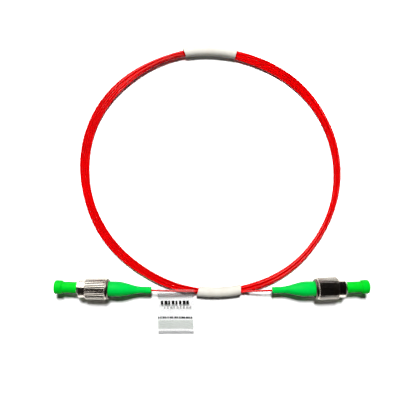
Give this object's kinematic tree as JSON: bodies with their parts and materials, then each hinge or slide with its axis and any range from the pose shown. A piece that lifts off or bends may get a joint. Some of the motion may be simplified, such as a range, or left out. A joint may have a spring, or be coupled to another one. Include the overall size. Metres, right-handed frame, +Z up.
{
  "type": "polarization maintaining patch cord",
  "caption": "Coiled fibre patch cord: a thin red cord tied by slit sleeves, with a keyed, threaded, angled-contact plug, boot and dust cap at each end and a clear film flag.",
  "frame": {"origin": "middle of the rigid pieces' box on the surface that the cord lies on", "axes": "+X from the left plug to the right plug, +Y from the plugs to the far side of the coil, +Z up"},
  "size_m": [0.1458, 0.1355, 0.0102],
  "materials": {
    "cord_red": "smooth jacket",
    "sleeve_cream": "satin tube",
    "clear_film": "clear film",
    "boot_green": "smooth moulded",
    "cap_green": "satin moulded",
    "nickel_nut": "nickel plated, knurled",
    "nickel_frame": "nickel plated",
    "turned_steel": "turned",
    "spring_steel": "drawn wire",
    "ferrule_ceramic": "polished"
  },
  "bodies": {
    "root": {"cord_coil": "cord_red", "left_cord": "cord_red", "right_cord": "cord_red", "top_sleeve": "sleeve_cream", "bottom_sleeve": "sleeve_cream", "flag_label": "clear_film", "left_plug_frame": "nickel_frame", "left_rear_body": "nickel_frame", "left_boot": "boot_green", "left_spring": "spring_steel", "right_plug_frame": "nickel_frame", "right_rear_body": "nickel_frame", "right_boot": "boot_green", "right_spring": "spring_steel"},
    "left_clip": {"left_retaining_clip": "spring_steel"},
    "left_nut": {"left_coupling_nut": "nickel_nut"},
    "left_ferrule_set": {"left_ferrule": "ferrule_ceramic", "left_ferrule_holder": "turned_steel"},
    "left_cap": {"left_dust_cap": "cap_green"},
    "right_clip": {"right_retaining_clip": "spring_steel"},
    "right_nut": {"right_coupling_nut": "nickel_nut"},
    "right_ferrule_set": {"right_ferrule": "ferrule_ceramic", "right_ferrule_holder": "turned_steel"},
    "right_cap": {"right_dust_cap": "cap_green"}
  },
  "joints": [
    {"name": "left_nut_slide", "type": "slide", "parent": "root", "child": "left_clip", "axis": [-0.9994, 0.0349, 0], "range_m": [-0.0035, 0.001]},
    {"name": "left_nut_spin", "type": "hinge", "parent": "left_clip", "child": "left_nut", "pos_m": [-0.05498, -0.04536, 0.0051], "axis": [-0.9994, 0.0349, 0], "continuous": true},
    {"name": "left_ferrule_press", "type": "slide", "parent": "root", "child": "left_ferrule_set", "axis": [-0.9994, 0.0349, 0], "range_m": [-0.001, 0], "stiffness_N_per_m": 4000, "deforming": ["left_spring"]},
    {"name": "left_cap_pull", "type": "slide", "parent": "root", "child": "left_cap", "axis": [-0.9994, 0.0349, 0], "range_m": [0, 0.012]},
    {"name": "right_nut_slide", "type": "slide", "parent": "root", "child": "right_clip", "axis": [0.9993, 0.0384, 0], "range_m": [-0.0035, 0.001]},
    {"name": "right_nut_spin", "type": "hinge", "parent": "right_clip", "child": "right_nut", "pos_m": [0.05498, -0.04526, 0.0051], "axis": [0.9993, 0.0384, 0], "continuous": true},
    {"name": "right_ferrule_press", "type": "slide", "parent": "root", "child": "right_ferrule_set", "axis": [0.9993, 0.0384, 0], "range_m": [-0.001, 0], "stiffness_N_per_m": 4000, "deforming": ["right_spring"]},
    {"name": "right_cap_pull", "type": "slide", "parent": "root", "child": "right_cap", "axis": [0.9993, 0.0384, 0], "range_m": [0, 0.012]}
  ]
}
